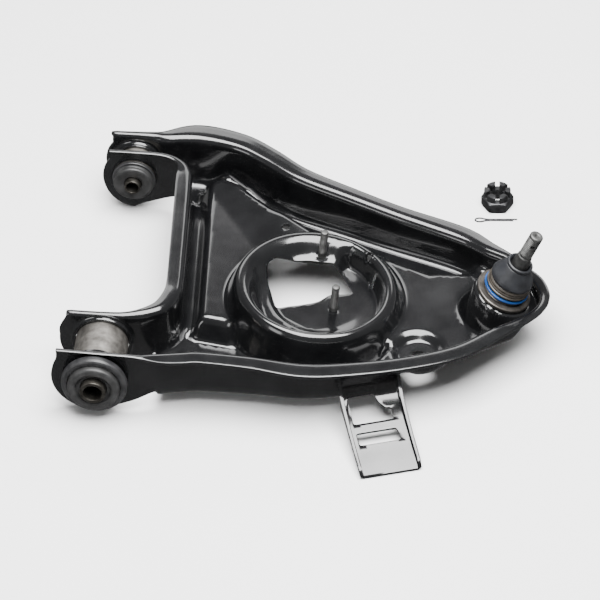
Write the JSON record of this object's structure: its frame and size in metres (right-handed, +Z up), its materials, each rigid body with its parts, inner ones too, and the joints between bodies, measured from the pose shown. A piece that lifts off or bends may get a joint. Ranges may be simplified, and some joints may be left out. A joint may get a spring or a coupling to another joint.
{
  "type": "suspension control arm",
  "caption": "Pressed-steel lower suspension control arm with rubber bushes, a spring pocket, shock studs, a bump-stop bracket and a swivelling ball joint, its castle nut and pin beside it.",
  "frame": {"origin": "centre of the bounding box on the floor the arm lies on", "axes": "+X from the bush axis towards the ball joint, +Y along the bush axis towards the rear bush, +Z up"},
  "size_m": [0.4818, 0.4401, 0.1368],
  "materials": {
    "black_paint": "gloss black coating",
    "sleeve_steel": "bare satin steel",
    "bush_rubber": "matt black rubber",
    "inner_sleeve_steel": "dark satin steel",
    "bush_flange_paint": "satin black",
    "joint_housing_steel": "dark phosphated steel",
    "joint_seat": "moulded bearing plastic",
    "spring_steel": "spring steel",
    "stud_phosphate": "grey phosphated steel",
    "boot_rubber": "satin black rubber",
    "clamp_ring_blue": "blue band",
    "fitting_zinc": "zinc-plated steel",
    "nut_black_oxide": "black oxide"
  },
  "bodies": {
    "arm": {"arm_stamping": "black_paint", "bump_stop_bracket": "black_paint", "front_bush_outer_sleeve": "sleeve_steel", "front_bush_flange": "bush_flange_paint", "front_bush_rubber": "bush_rubber", "rear_bush_outer_sleeve": "sleeve_steel", "rear_bush_flange": "bush_flange_paint", "rear_bush_rubber": "bush_rubber", "ball_joint_housing": "joint_housing_steel", "ball_joint_cover": "joint_housing_steel", "ball_seat_upper": "joint_seat", "ball_seat_lower": "joint_seat", "preload_spring": "spring_steel", "grease_fitting": "fitting_zinc", "boot_clamp_ring": "clamp_ring_blue", "dust_boot_lower": "boot_rubber", "shock_stud_front": "stud_phosphate", "shock_stud_rear": "stud_phosphate"},
    "front_bush_core": {"front_bush_inner_sleeve": "inner_sleeve_steel"},
    "rear_bush_core": {"rear_bush_inner_sleeve": "inner_sleeve_steel"},
    "boot_top": {"dust_boot_upper": "boot_rubber"},
    "boot_lip": {"boot_lip_ring": "boot_rubber"},
    "stud": {"ball_stud": "stud_phosphate"},
    "nut": {"castle_nut": "nut_black_oxide"},
    "pin": {"cotter_pin": "nut_black_oxide"}
  },
  "joints": [
    {"name": "front_bush_turn", "type": "hinge", "parent": "arm", "child": "front_bush_core", "pos_m": [-0.1964, -0.1191, 0.042], "axis": [0, 1, 0], "range_deg": [-20, 20], "stiffness_Nm_per_rad": 20},
    {"name": "rear_bush_turn", "type": "hinge", "parent": "arm", "child": "rear_bush_core", "pos_m": [-0.1964, 0.1689, 0.042], "axis": [0, 1, 0], "range_deg": [-20, 20], "stiffness_Nm_per_rad": 12},
    {"name": "ball_tilt_travel", "type": "hinge", "parent": "arm", "child": "boot_top", "pos_m": [0.18874, 0.0129, 0.04469], "axis": [0, 1, 0], "range_deg": [-14, 14], "deforming": ["dust_boot_lower", "dust_boot_upper"]},
    {"name": "ball_tilt_side", "type": "hinge", "parent": "boot_top", "child": "boot_lip", "pos_m": [0.18874, 0.0129, 0.04469], "axis": [0.9205, 0, -0.3907], "range_deg": [-14, 14]},
    {"name": "ball_spin", "type": "hinge", "parent": "boot_lip", "child": "stud", "pos_m": [0.18874, 0.0129, 0.04469], "axis": [0.3907, 0, 0.9205], "continuous": true},
    {"name": "nut_lift", "type": "slide", "parent": "arm", "child": "nut", "axis": [0, 0, 1], "range_m": [0, 0.12]},
    {"name": "pin_lift", "type": "slide", "parent": "arm", "child": "pin", "axis": [0, 0, 1], "range_m": [0, 0.12]}
  ]
}
